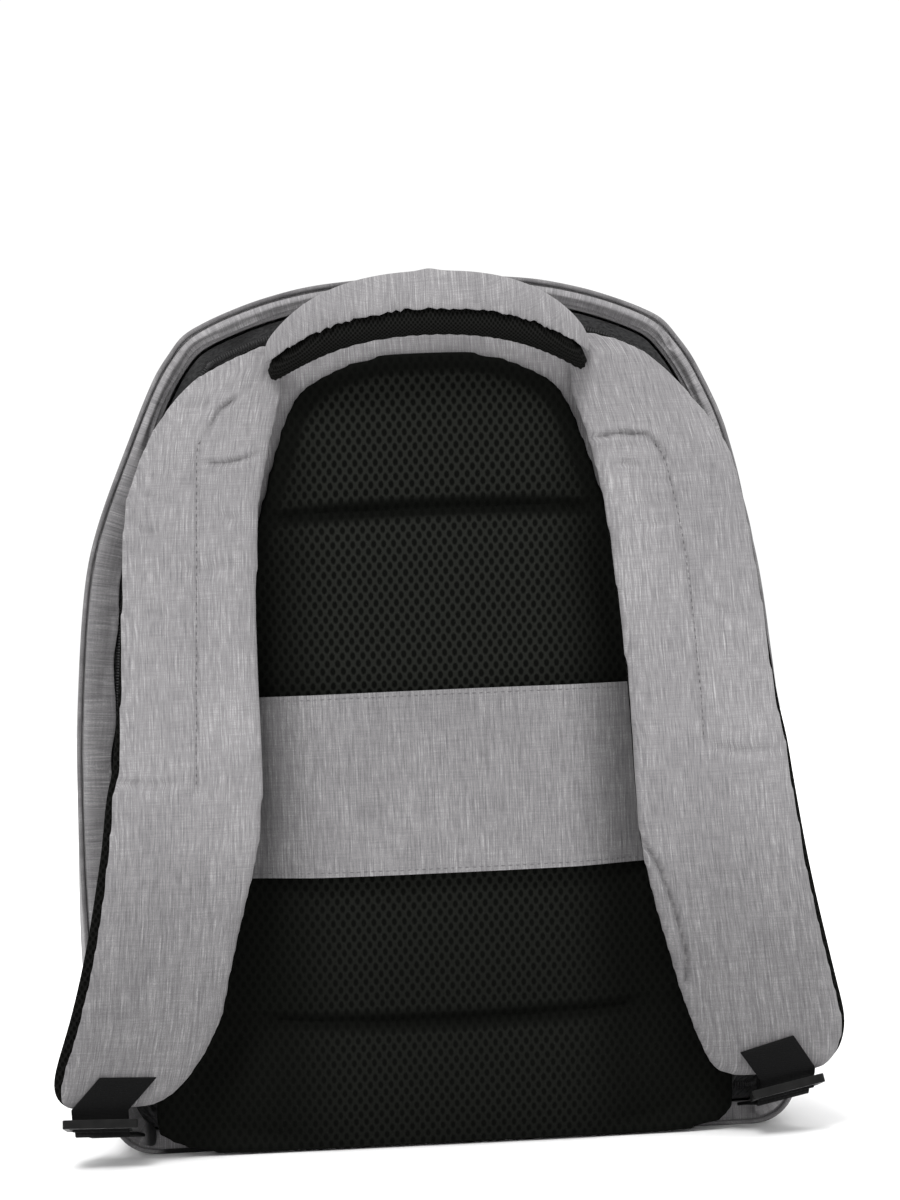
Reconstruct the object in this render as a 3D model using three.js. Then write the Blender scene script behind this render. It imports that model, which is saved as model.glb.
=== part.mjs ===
// Anti theft backpack standing on its base, seen from the side the wearer's back touches.
// Millimetres. X runs to the right in that view, Z up, and the wearer's side faces -Y.
// Z = 0 is the flat base, X = 0 the middle of the bag, Y = 0 half way through its depth.
import * as THREE from 'three';

// Whole bag
const bagHeight = 440;
const bagWidth = 370;
const bagDepth = 160;
const gap = 0.3;

// Cloth shell with its turned-in lip
const shellWall = 3;
const lipSetBack = 32;
const lipWidth = 12;

// Soft band on the lip
const rimStart = 2.8;
const rimWidth = 12;
const rimThick = 6;

// Zip round the back
const tapeThick = 1.2;
const tapeWidth = 18;
const coilWidth = 4;
const coilThick = 1.9;
const sliderLength = 13;
const sliderThick = 4;

// Back board and the mesh cushions on it
const boardInset = 26;
const boardThick = 14.7;
const boardFootRound = 0.2;
const meshWidth = 286;
const meshEdge = 5;
const columnWidth = 152;
const cushionRise = 12;

// Band over the cushions that a trolley's handle goes through
const sleeveGap = 6;
const bandThick = 1.8;
const bandHeight = 90;
const bandLength = 242;
const bandMiddle = 184;

// Shoulder straps
const strapWidth = 70;
const liningThick = 2.6;
const liningEdge = 4;
const padTopThick = 6;
const padThick = 9.5;
const strapStandOff = 25;

// Grab handle
const handleLength = 157;
const handleRise = 16.2;
const handleThick = 15;
const handleReach = 26.5;
const handleBelowTop = 18.5;
const handleDrop = 24;

// Webbing and ladder locks
const webThick = 1.7;
const webWidth = 28;
const lockWidth = 37;
const lockLength = 30;
const lockThick = 3.2;
const lockSlope = 0.2;
const lockAhead = 3.5;
const barDepth = 4.2;
const loopSlot = 7.5;
const middleBar = 4;
const tabLength = 21;
const tailHeight = 72;

// Planes through the depth, from the lip towards the wearer
const lipY = -bagDepth / 2 + lipSetBack;
const frontY = bagDepth / 2;
const boardBack = lipY - gap;
const boardFront = boardBack - boardThick;
const meshBack = boardFront - gap;

const melange = { color: 0x9a979c, roughness: 0.85, metalness: 0 };
const darkCloth = { color: 0x1b1b1c, roughness: 0.9, metalness: 0 };
const plastic = { color: 0x17181a, roughness: 0.4, metalness: 0 };

const object = new THREE.Group();

function add(name, geometry, look) {
  const mesh = new THREE.Mesh(geometry, new THREE.MeshStandardMaterial(look));
  mesh.name = name;
  object.add(mesh);
}

// Value of one column of a table at a height between its rows, which run from high to low
function read(rows, column, z) {
  const below = rows.findIndex((row) => row.z <= z);
  if (below <= 0) return rows[below === 0 ? 0 : rows.length - 1][column];
  const [a, b] = [rows[below - 1], rows[below]];
  return THREE.MathUtils.mapLinear(z, a.z, b.z, a[column], b[column]);
}

function volume(positions, index) {
  const corner = (i) => new THREE.Vector3().fromArray(positions, index[i] * 3);
  let sum = 0;
  for (let i = 0; i < index.length; i += 3) sum += corner(i).dot(corner(i + 1).cross(corner(i + 2)));
  return sum;
}

// One closed body through rings of [x, y, z] points. Open ends are closed by a fan on the pole
// that is given, or on their middle.
function loft(rings, { loop = false, startPole = null, endPole = null } = {}) {
  const positions = rings.flat(2);
  const count = rings[0].length;
  const index = [];
  const joins = loop ? rings.length : rings.length - 1;
  for (let r = 0; r < joins; r += 1) {
    const a = r * count;
    const b = ((r + 1) % rings.length) * count;
    for (let i = 0; i < count; i += 1) {
      const j = (i + 1) % count;
      index.push(a + i, a + j, b + j, a + i, b + j, b + i);
    }
  }
  if (!loop) {
    const middle = (ring) => [0, 1, 2].map((k) => ring.reduce((sum, p) => sum + p[k], 0) / count);
    const fan = (start, pole, flip) => {
      const hub = positions.length / 3;
      positions.push(...pole);
      for (let i = 0; i < count; i += 1) {
        const j = (i + 1) % count;
        if (flip) index.push(hub, start + j, start + i);
        else index.push(hub, start + i, start + j);
      }
    };
    fan(0, startPole ?? middle(rings[0]), true);
    fan((rings.length - 1) * count, endPole ?? middle(rings[rings.length - 1]), false);
  }
  if (volume(positions, index) < 0) {
    for (let i = 0; i < index.length; i += 3) [index[i], index[i + 1]] = [index[i + 1], index[i]];
  }
  const geometry = new THREE.BufferGeometry();
  geometry.setAttribute('position', new THREE.Float32BufferAttribute(positions, 3));
  geometry.setIndex(index);
  geometry.computeVertexNormals();
  return geometry;
}

// A right half that runs from the top middle to the bottom middle, with its mirror image
function bothSides(right) {
  const left = right.slice(1, -1).reverse().map((p) => ({ x: -p.x, z: p.z }));
  return [...right, ...left];
}

// Rim of the bag, right half, in shares of its half width and its height
const rimRows = [
  { out: 0, up: 1 }, { out: 0.16, up: 0.997 }, { out: 0.31, up: 0.991 }, { out: 0.43, up: 0.98 },
  { out: 0.525, up: 0.967 }, { out: 0.605, up: 0.953 }, { out: 0.662, up: 0.939 },
  { out: 0.703, up: 0.918 }, { out: 0.74, up: 0.895 }, { out: 0.776, up: 0.864 },
  { out: 0.811, up: 0.83 }, { out: 0.846, up: 0.795 }, { out: 0.884, up: 0.757 },
  { out: 0.919, up: 0.718 }, { out: 0.946, up: 0.677 }, { out: 0.965, up: 0.627 },
  { out: 0.981, up: 0.56 }, { out: 0.995, up: 0.477 }, { out: 1, up: 0.39 },
  { out: 1, up: 0.305 }, { out: 0.995, up: 0.223 }, { out: 0.987, up: 0.15 },
  { out: 0.973, up: 0.091 }, { out: 0.957, up: 0.055 }, { out: 0.93, up: 0.026 },
  { out: 0.889, up: 0.008 }, { out: 0.827, up: 0 }, { out: 0.69, up: 0 }, { out: 0.475, up: 0 },
  { out: 0.24, up: 0 }, { out: 0, up: 0 },
];
const outline = bothSides(rimRows.map((p) => ({ x: (p.out * bagWidth) / 2, z: p.up * bagHeight })));
const foot = rimRows.findIndex((p) => p.up === 0);

// The same outline moved inwards
function insetOutline(inset) {
  return outline.map((p, i) => {
    const before = outline[(i + outline.length - 1) % outline.length];
    const after = outline[(i + 1) % outline.length];
    const length = Math.hypot(after.x - before.x, after.z - before.z);
    return {
      x: p.x + (inset * (after.z - before.z)) / length,
      z: p.z - (inset * (after.x - before.x)) / length,
    };
  });
}

// Shell, in shares of its own depth, of the half width and of the height above or below its
// middle: how far each station draws in, and how much its lower sides swell
const shellRows = [
  { deep: 0.015, side: 0, top: 0, base: 0, swell: 0 },
  { deep: 0.095, side: -0.002, top: 0, base: 0, swell: 0.008 },
  { deep: 0.25, side: -0.002, top: 0.004, base: 0, swell: 0.024 },
  { deep: 0.44, side: 0.011, top: 0.024, base: 0, swell: 0.027 },
  { deep: 0.625, side: 0.049, top: 0.064, base: 0, swell: 0.021 },
  { deep: 0.78, side: 0.125, top: 0.132, base: 0.008, swell: 0.01 },
  { deep: 0.89, side: 0.243, top: 0.24, base: 0.053, swell: 0 },
  { deep: 0.96, side: 0.42, top: 0.4, base: 0.18, swell: 0 },
  { deep: 0.992, side: 0.66, top: 0.6, base: 0.42, swell: 0 },
];
const middleHeight = 0.43 * bagHeight;
const swellHeight = 0.22 * bagHeight;

function shellRing(row, wall) {
  const y = lipY + row.deep * (frontY - lipY) - wall * (row.deep > 0.8 ? 0.6 : 0);
  return outline.map((p) => {
    const room = p.z > middleHeight ? bagHeight - middleHeight : middleHeight;
    const drop = (p.z > middleHeight ? row.top : row.base) + wall / room;
    const side = row.side + (2 * wall) / bagWidth;
    const beside = Math.abs(p.x) > bagWidth * 0.27 ? Math.sign(p.x) : 0;
    const near = Math.exp(-(((p.z - swellHeight) / (0.12 * bagHeight)) ** 2));
    return [
      p.x * (1 - side) + (beside * near * row.swell * bagWidth) / 2,
      y,
      middleHeight + (p.z - middleHeight) * (1 - drop),
    ];
  });
}

const flatRing = (inset, y) => insetOutline(inset).map((p) => [p.x, y, p.z]);
const inner = shellRows.slice(1).reverse().map((row) => shellRing(row, shellWall));
const outer = shellRows.map((row) => shellRing(row, 0));
const lip = [
  flatRing(shellWall, lipY + shellWall),
  flatRing(lipWidth, lipY + shellWall),
  flatRing(lipWidth, lipY),
  flatRing(shellWall / 2, lipY),
];
add('body_shell', loft([...inner, ...lip, ...outer], {
  startPole: [0, frontY - shellWall, middleHeight],
  endPole: [0, frontY, middleHeight],
}), melange);

// Bodies that follow the rim: a section of {inset, y} corners carried round the outline
function ringBody(section, from = 0, to = outline.length) {
  const lines = section.map((corner) => flatRing(corner.inset, corner.y));
  const stops = [];
  for (let i = from; i < to; i += 1) {
    const at = (i + outline.length) % outline.length;
    stops.push(lines.map((line) => line[at]));
  }
  return loft(stops, { loop: to - from === outline.length });
}

const rimBack = lipY - gap;
const rimEnd = rimStart + rimWidth;
const rimFront = rimBack - rimThick;
const rimSection = [
  { in: 0.07, rise: 0 }, { in: 0, rise: 0.35 }, { in: 0.18, rise: 0.84 }, { in: 0.52, rise: 1 },
  { in: 0.88, rise: 0.78 }, { in: 1, rise: 0.4 }, { in: 0.95, rise: 0 },
].map((p) => ({ inset: rimStart + rimWidth * p.in, y: rimBack - rimThick * p.rise }));
add('rim_band', ringBody(rimSection, -foot, foot + 1), melange);

const tapeStart = lipWidth + gap;
add('zip_tape', ringBody([
  { inset: tapeStart, y: lipY },
  { inset: tapeStart + tapeWidth, y: lipY },
  { inset: tapeStart + tapeWidth, y: lipY + tapeThick },
  { inset: tapeStart, y: lipY + tapeThick },
]), darkCloth);

const coilMiddle = (rimEnd + boardInset) / 2;
add('zip_coil', ringBody([
  { inset: coilMiddle - coilWidth / 2, y: boardBack },
  { inset: coilMiddle - coilWidth / 4, y: boardBack - coilThick },
  { inset: coilMiddle + coilWidth / 4, y: boardBack - coilThick },
  { inset: coilMiddle + coilWidth / 2, y: boardBack },
], 1 - foot, foot), darkCloth);

// One plain slider on the coil, behind the right-hand strap
const slider = new THREE.BoxGeometry(coilWidth * 1.7, sliderThick, sliderLength);
slider.translate(bagWidth / 2 - coilMiddle, boardBack - coilThick - gap - sliderThick / 2, 0.345 * bagHeight);
add('zip_slider', slider, plastic);

// Board of the back: inside the zip at the top and sides, down to the base between the corners
const boardFootRows = [
  { up: 0.15, half: 0.843 }, { up: 0.107, half: 0.824 }, { up: 0.073, half: 0.795 },
  { up: 0.046, half: 0.757 }, { up: 0.022, half: 0.708 }, { up: 0.007, half: 0.649 },
  { up: 0, half: 0.584 }, { up: 0, half: 0.32 }, { up: 0, half: 0 },
];
const boardSideEnd = rimRows.findIndex((p) => p.up < 0.2);
function boardRing(inset, y) {
  const side = insetOutline(boardInset + inset).slice(0, boardSideEnd);
  const lower = boardFootRows.map((p) => ({
    x: Math.max((p.half * bagWidth) / 2 - inset, 0),
    z: p.up * bagHeight + inset * boardFootRound * Math.max(0, 1 - p.up / 0.09),
  }));
  return bothSides([...side, ...lower]).map((p) => [p.x, y, p.z]);
}
add('back_panel', loft([
  boardRing(0.6, boardBack),
  boardRing(0, boardBack - boardThick * 0.3),
  boardRing(0.4, boardBack - boardThick * 0.72),
  boardRing(2.6, boardBack - boardThick * 0.94),
  boardRing(6.5, boardFront),
]), melange);

// Mesh cushions by height: half width of the panel, half width of the raised column, both in
// shares of their named widths, and how far the column and the panel's edge rise
const meshRows = [
  { up: 0.912, half: 0.105, pad: 0.13, rise: 0, edge: 0.3 },
  { up: 0.907, half: 0.21, pad: 0.28, rise: 0.12, edge: 0.55 },
  { up: 0.898, half: 0.31, pad: 0.41, rise: 0.26, edge: 0.8 },
  { up: 0.884, half: 0.4, pad: 0.54, rise: 0.48, edge: 0.95 },
  { up: 0.866, half: 0.472, pad: 0.66, rise: 0.74, edge: 1 },
  { up: 0.841, half: 0.517, pad: 0.75, rise: 0.93, edge: 1 },
  { up: 0.807, half: 0.552, pad: 0.815, rise: 1, edge: 1 },
  { up: 0.768, half: 0.591, pad: 0.868, rise: 0.98, edge: 1 },
  { up: 0.743, half: 0.615, pad: 0.895, rise: 0.84, edge: 1 },
  { up: 0.73, half: 0.629, pad: 0.908, rise: 0.42, edge: 1 },
  { up: 0.716, half: 0.643, pad: 0.92, rise: 0.84, edge: 1 },
  { up: 0.689, half: 0.67, pad: 0.935, rise: 0.99, edge: 1 },
  { up: 0.625, half: 0.72, pad: 0.955, rise: 1, edge: 1 },
  { up: 0.557, half: 0.776, pad: 0.975, rise: 1, edge: 1 },
  { up: 0.477, half: 0.84, pad: 1, rise: 1, edge: 1 },
  { up: 0.398, half: 0.888, pad: 1.04, rise: 1, edge: 1 },
  { up: 0.318, half: 0.934, pad: 1.08, rise: 1, edge: 1 },
  { up: 0.25, half: 0.969, pad: 1.145, rise: 1, edge: 1 },
  { up: 0.191, half: 0.99, pad: 1.21, rise: 0.97, edge: 1 },
  { up: 0.159, half: 0.997, pad: 1.25, rise: 0.82, edge: 1 },
  { up: 0.145, half: 1, pad: 1.275, rise: 0.42, edge: 1 },
  { up: 0.132, half: 1, pad: 1.355, rise: 0.8, edge: 1 },
  { up: 0.105, half: 0.997, pad: 1.45, rise: 0.92, edge: 1 },
  { up: 0.07, half: 0.976, pad: 1.475, rise: 0.88, edge: 1 },
  { up: 0.043, half: 0.93, pad: 1.41, rise: 0.68, edge: 1 },
  { up: 0.023, half: 0.874, pad: 1.3, rise: 0.45, edge: 1 },
  { up: 0.009, half: 0.804, pad: 1.16, rise: 0.25, edge: 0.9 },
  { up: 0, half: 0.706, pad: 1, rise: 0.08, edge: 0.7 },
];
// Across one row: how far out, in shares of the raised column and of the margin beside it
const meshColumns = [
  { pad: 0, margin: 0, lift: 1 },
  { pad: 0.4, margin: 0, lift: 0.98 },
  { pad: 0.72, margin: 0, lift: 0.9 },
  { pad: 0.9, margin: 0, lift: 0.7 },
  { pad: 1, margin: 0.12, lift: 0.4 },
  { pad: 1, margin: 0.45, lift: 0.17 },
  { pad: 1, margin: 0.82, lift: 0.06 },
  { pad: 1, margin: 1, lift: -0.12 },
];
add('mesh_panel', loft(meshRows.map((row) => {
  const half = (row.half * meshWidth) / 2;
  const pad = Math.min((row.pad * columnWidth) / 2, half * 0.86);
  const z = row.up * bagHeight;
  const right = meshColumns.map((column) => [
    column.pad * pad + column.margin * (half - pad),
    meshBack - meshEdge * row.edge - cushionRise * row.rise * column.lift,
    z,
  ]);
  const left = right.slice(1).reverse().map(([x, y]) => [-x, y, z]);
  const back = [half - 0.5, 0, 0.5 - half].map((x) => [x, meshBack, z]);
  return [...left, ...right, ...back];
})), darkCloth);

// Band: how far it stands off the board across its half length
const bandRows = [
  { out: 0, stand: 1 }, { out: 0.25, stand: 1 }, { out: 0.43, stand: 0.985 },
  { out: 0.53, stand: 0.94 }, { out: 0.63, stand: 0.83 }, { out: 0.745, stand: 0.66 },
  { out: 0.86, stand: 0.47 }, { out: 0.94, stand: 0.335 }, { out: 1, stand: 0.265 },
];
const bandStand = meshEdge + cushionRise + sleeveGap;
const bandSide = bandRows.map((row) => ({
  x: (row.out * bandLength) / 2,
  y: meshBack - Math.max(bandStand * row.stand, meshEdge + 1.1),
}));
const bandLow = bandMiddle - bandHeight / 2;
const bandHigh = bandMiddle + bandHeight / 2;
const bandAcross = [...bandSide.slice(1).reverse().map((p) => ({ x: -p.x, y: p.y })), ...bandSide];
add('luggage_strap', loft(bandAcross.map(({ x, y }) => [
  [x, y, bandLow], [x, y, bandHigh], [x, y - bandThick, bandHigh], [x, y - bandThick, bandLow],
])), melange);

// Shoulder straps by height: their middle in shares of the half width of the bag, their width,
// how far they stand off the board, their thickness and how far the mesh lining shows past the
// outer edge, each in shares of its named size
const leftStrapRows = [
  { up: 0.923, middle: 0.435, width: 0.1, off: 0, thick: 0.6, edge: -0.1 },
  { up: 0.914, middle: 0.457, width: 0.27, off: 0, thick: 0.62, edge: -0.3 },
  { up: 0.902, middle: 0.485, width: 0.465, off: 0, thick: 0.64, edge: -0.3 },
  { up: 0.886, middle: 0.516, width: 0.67, off: 0.01, thick: 0.68, edge: -0.3 },
  { up: 0.861, middle: 0.548, width: 0.817, off: 0.04, thick: 0.8, edge: -0.3 },
  { up: 0.83, middle: 0.585, width: 0.893, off: 0.1, thick: 0.92, edge: -0.3 },
  { up: 0.791, middle: 0.62, width: 0.95, off: 0.2, thick: 1, edge: -0.3 },
  { up: 0.75, middle: 0.649, width: 0.986, off: 0.31, thick: 1, edge: -0.3 },
  { up: 0.693, middle: 0.663, width: 0.99, off: 0.43, thick: 1, edge: -0.3 },
  { up: 0.614, middle: 0.673, width: 0.986, off: 0.56, thick: 1, edge: -0.15 },
  { up: 0.541, middle: 0.678, width: 1.003, off: 0.7, thick: 1, edge: 0.1 },
  { up: 0.477, middle: 0.681, width: 1.03, off: 0.84, thick: 1, edge: 0.35 },
  { up: 0.441, middle: 0.685, width: 1.05, off: 0.92, thick: 1, edge: 0.55 },
  { up: 0.418, middle: 0.695, width: 1.094, off: 0.96, thick: 1, edge: 0.6 },
  { up: 0.368, middle: 0.706, width: 1.086, off: 1.04, thick: 1, edge: 0.7 },
  { up: 0.323, middle: 0.727, width: 1.07, off: 1.09, thick: 1, edge: 0.8 },
  { up: 0.268, middle: 0.757, width: 1.03, off: 1.12, thick: 1, edge: 0.9 },
  { up: 0.214, middle: 0.788, width: 1.02, off: 1.1, thick: 1, edge: 1 },
  { up: 0.164, middle: 0.819, width: 1.03, off: 1.05, thick: 1, edge: 1.05 },
  { up: 0.127, middle: 0.858, width: 0.993, off: 0.99, thick: 0.98, edge: 1.05 },
  { up: 0.1, middle: 0.892, width: 0.93, off: 0.94, thick: 0.92, edge: 0.9 },
  { up: 0.082, middle: 0.916, width: 0.843, off: 0.9, thick: 0.86, edge: 0.3 },
  { up: 0.072, middle: 0.931, width: 0.72, off: 0.88, thick: 0.74, edge: -0.3 },
  { up: 0.067, middle: 0.941, width: 0.515, off: 0.87, thick: 0.6, edge: -0.3 },
];
const rightStrapRows = [
  { up: 0.909, middle: 0.419, width: 0.1, off: 0, thick: 0.6, edge: -0.1 },
  { up: 0.9, middle: 0.445, width: 0.28, off: 0, thick: 0.62, edge: -0.3 },
  { up: 0.889, middle: 0.47, width: 0.457, off: 0, thick: 0.64, edge: -0.3 },
  { up: 0.873, middle: 0.497, width: 0.614, off: 0.01, thick: 0.68, edge: -0.3 },
  { up: 0.848, middle: 0.531, width: 0.764, off: 0.04, thick: 0.8, edge: -0.3 },
  { up: 0.818, middle: 0.57, width: 0.83, off: 0.1, thick: 0.92, edge: -0.3 },
  { up: 0.784, middle: 0.608, width: 0.93, off: 0.2, thick: 1, edge: -0.3 },
  { up: 0.745, middle: 0.634, width: 0.98, off: 0.31, thick: 1, edge: -0.3 },
  { up: 0.693, middle: 0.651, width: 0.986, off: 0.43, thick: 1, edge: -0.3 },
  { up: 0.614, middle: 0.67, width: 1, off: 0.56, thick: 1, edge: -0.15 },
  { up: 0.541, middle: 0.685, width: 1.01, off: 0.7, thick: 1, edge: 0.1 },
  { up: 0.482, middle: 0.693, width: 1.036, off: 0.84, thick: 1, edge: 0.25 },
  { up: 0.455, middle: 0.701, width: 1.074, off: 0.91, thick: 1, edge: 0.25 },
  { up: 0.418, middle: 0.705, width: 1.09, off: 0.97, thick: 1, edge: 0.3 },
  { up: 0.368, middle: 0.714, width: 1.114, off: 1.04, thick: 1, edge: 0.35 },
  { up: 0.323, middle: 0.724, width: 1.127, off: 1.09, thick: 1, edge: 0.4 },
  { up: 0.268, middle: 0.749, width: 1.114, off: 1.12, thick: 1, edge: 0.45 },
  { up: 0.214, middle: 0.778, width: 1.097, off: 1.1, thick: 1, edge: 0.5 },
  { up: 0.164, middle: 0.805, width: 1.07, off: 1.05, thick: 1, edge: 0.5 },
  { up: 0.132, middle: 0.824, width: 1.043, off: 0.99, thick: 0.98, edge: 0.45 },
  { up: 0.107, middle: 0.837, width: 0.994, off: 0.94, thick: 0.92, edge: 0.3 },
  { up: 0.089, middle: 0.839, width: 0.907, off: 0.9, thick: 0.86, edge: 0.1 },
  { up: 0.076, middle: 0.839, width: 0.78, off: 0.88, thick: 0.74, edge: -0.3 },
  { up: 0.069, middle: 0.838, width: 0.543, off: 0.87, thick: 0.6, edge: -0.3 },
];
// Section of the padded cover: along the width, in from the edge and out from its back
const padSection = [
  { at: 0, in: 2, rise: 0 }, { at: 0.5, in: 0, rise: 0 }, { at: 1, in: -2, rise: 0 },
  { at: 1, in: 0, rise: 0.34 }, { at: 1, in: -1.4, rise: 0.76 }, { at: 1, in: -7, rise: 0.96 },
  { at: 0.5, in: 0, rise: 1 }, { at: 0, in: 7, rise: 0.96 }, { at: 0, in: 1.4, rise: 0.76 },
  { at: 0, in: 0, rise: 0.34 },
];
function strapPlaces(rows, side) {
  return rows.map((row) => {
    const back = meshBack - strapStandOff * row.off;
    const cover = back - liningThick - gap;
    return {
      z: row.up * bagHeight,
      middle: (side * row.middle * bagWidth) / 2,
      half: (row.width * strapWidth) / 2,
      back,
      cover,
      front: cover - Math.max(padTopThick, padThick * row.thick),
      edge: row.edge * liningEdge,
      side,
    };
  });
}
const leftStrap = strapPlaces(leftStrapRows, -1);
const rightStrap = strapPlaces(rightStrapRows, 1);

function strapCover(places) {
  return loft(places.map((p) => padSection.map((c) => {
    const inset = Math.sign(c.in) * Math.min(Math.abs(c.in), p.half * 0.44);
    const x = p.middle + p.side * (p.half * (2 * c.at - 1) + inset);
    return [x, THREE.MathUtils.lerp(p.cover, p.front, c.rise), p.z];
  })));
}
function strapLining(places) {
  return loft(places.map((p) => {
    const shy = Math.min(1.2, p.half * 0.24);
    const front = p.back - liningThick;
    const halfway = p.back - liningThick / 2;
    const section = [
      [shy - p.half + 0.6, p.back], [0, p.back], [p.half + p.edge - 0.6, p.back], [p.half + p.edge, halfway],
      [p.half + p.edge - 0.6, front], [0, front], [shy - p.half + 0.6, front], [shy - p.half, halfway],
    ];
    return section.map(([out, y]) => [p.middle + p.side * out, y, p.z]);
  }));
}
add('shoulder_strap_left', strapCover(leftStrap), melange);
add('shoulder_strap_right', strapCover(rightStrap), melange);
add('strap_lining_left', strapLining(leftStrap), darkCloth);
add('strap_lining_right', strapLining(rightStrap), darkCloth);

// Grab handle from its middle to the end that lies on the strap, in shares of its half length,
// drop, reach, height and thickness
const handleRows = [
  { out: 0, drop: 0, reach: 1, rise: 1, thick: 1 },
  { out: 0.2, drop: 0.02, reach: 1, rise: 1, thick: 1 },
  { out: 0.42, drop: 0.11, reach: 0.97, rise: 1, thick: 1 },
  { out: 0.61, drop: 0.28, reach: 0.9, rise: 0.98, thick: 0.98 },
  { out: 0.765, drop: 0.5, reach: 0.76, rise: 0.94, thick: 0.95 },
  { out: 0.88, drop: 0.72, reach: 0.55, rise: 0.85, thick: 0.86 },
  { out: 0.955, drop: 0.9, reach: 0.29, rise: 0.75, thick: 0.72 },
  { out: 1, drop: 1, reach: 0, rise: 0.67, thick: 0.55 },
];
const handleMiddle = bagHeight - handleBelowTop;
const handleLow = handleMiddle - handleDrop - handleRise * handleRows[handleRows.length - 1].rise;
const handleSeat = Math.min(read(leftStrap, 'front', handleLow), read(rightStrap, 'front', handleLow)) - gap;
const handleHalf = handleRows.map((row) => ({
  x: (row.out * handleLength) / 2,
  y: handleSeat - handleReach * row.reach,
  z: handleMiddle - handleDrop * row.drop,
  rise: handleRise * row.rise,
  deep: (handleThick / 2) * row.thick,
}));
const handlePath = [...handleHalf.slice(1).reverse().map((p) => ({ ...p, x: -p.x })), ...handleHalf];
// The seam between cover and lining runs low on the front and high on the back, in degrees
const seamFront = -26;
const seamBack = 138;
function handleRings(from, to, steps, shift) {
  return handlePath.map((p, i) => {
    const before = handlePath[Math.max(i - 1, 0)];
    const after = handlePath[Math.min(i + 1, handlePath.length - 1)];
    const run = Math.hypot(after.x - before.x, after.y - before.y);
    const out = { x: (after.y - before.y) / run, y: -(after.x - before.x) / run };
    return Array.from({ length: steps + 1 }, (_, s) => {
      const angle = THREE.MathUtils.degToRad(from + ((to - from) * s) / steps);
      const off = p.deep * Math.cos(angle) - shift * 0.82;
      return [p.x + out.x * off, p.y + out.y * off, p.z + p.rise * Math.sin(angle) - shift * 0.57];
    });
  });
}
add('handle_cover', loft(handleRings(seamFront, seamBack, 7, 0)), melange);
// Reversed, so that the faces on both sides of the seam are split the same way
add('handle_lining', loft(handleRings(seamBack, seamFront + 360, 8, gap * 1.4).reverse()), darkCloth);

// Ladder lock: a plate with two slots, its front bar thicker, lying back under the strap's tip
function lockPlace(places, { out, drop, tilt, slant }) {
  const tip = places[places.length - 1];
  const y = tip.front - barDepth - lockAhead;
  return { places, tip, x: tip.middle + tip.side * out, y, z: tip.z - drop, tilt, slant };
}
const leftLock = lockPlace(leftStrap, { out: 4, drop: 4.1, tilt: -0.03, slant: 0.7 });
const rightLock = lockPlace(rightStrap, { out: 8.5, drop: 3.5, tilt: 0.2, slant: 0.5 });
const rearSlot = barDepth + loopSlot + middleBar;

function ladderLock(lock) {
  const half = lockWidth / 2;
  const r = 2.5;
  const plate = new THREE.Shape();
  plate.moveTo(r - half, 0);
  plate.lineTo(half - r, 0);
  plate.quadraticCurveTo(half, 0, half, r);
  plate.lineTo(half - 1, lockLength - r);
  plate.quadraticCurveTo(half - 1, lockLength, half - 1 - r, lockLength);
  plate.lineTo(r + 1 - half, lockLength);
  plate.quadraticCurveTo(1 - half, lockLength, 1 - half, lockLength - r);
  plate.lineTo(-half, r);
  plate.quadraticCurveTo(-half, 0, r - half, 0);
  const slotHalf = webWidth / 2 + 1.2;
  for (const [from, to] of [[barDepth, barDepth + loopSlot], [rearSlot, lockLength - barDepth]]) {
    plate.holes.push(new THREE.Path([
      new THREE.Vector2(-slotHalf, from), new THREE.Vector2(-slotHalf, to),
      new THREE.Vector2(slotHalf, to), new THREE.Vector2(slotHalf, from),
    ]));
  }
  const geometry = new THREE.ExtrudeGeometry(plate, { depth: lockThick, bevelEnabled: false, curveSegments: 3 });
  const spots = geometry.attributes.position;
  for (let i = 0; i < spots.count; i += 1) {
    const onFrontBar = spots.getY(i) < barDepth + 0.1 && spots.getZ(i) > 0;
    if (onFrontBar) spots.setZ(i, lockThick * 1.35);
  }
  geometry.rotateX(-lockSlope);
  geometry.rotateY(-lock.tilt);
  geometry.translate(lock.x, lock.y, lock.z - lockThick);
  return geometry;
}
add('ladder_lock_left', ladderLock(leftLock), plastic);
add('ladder_lock_right', ladderLock(rightLock), plastic);

// Webbing along a path of {x, y, z, tilt} points, with its width along X and its face square to
// the path
function webbing(path, width) {
  return loft(path.map((p, i) => {
    const before = path[Math.max(i - 1, 0)];
    const after = path[Math.min(i + 1, path.length - 1)];
    const run = Math.hypot(after.y - before.y, after.z - before.z);
    const ny = ((after.z - before.z) / run) * (webThick / 2);
    const nz = (-(after.y - before.y) / run) * (webThick / 2);
    const corner = (side, face) => [
      p.x + (side * width * Math.cos(p.tilt)) / 2,
      p.y + face * ny,
      p.z + face * nz + (side * width * Math.sin(p.tilt)) / 2,
    ];
    return [corner(-1, -1), corner(1, -1), corner(1, 1), corner(-1, 1)];
  }));
}
// Top plane of the lock's plate, `behind` its front edge
const plateTop = (lock, behind) => lock.z - Math.sin(lockSlope) * behind;

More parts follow.
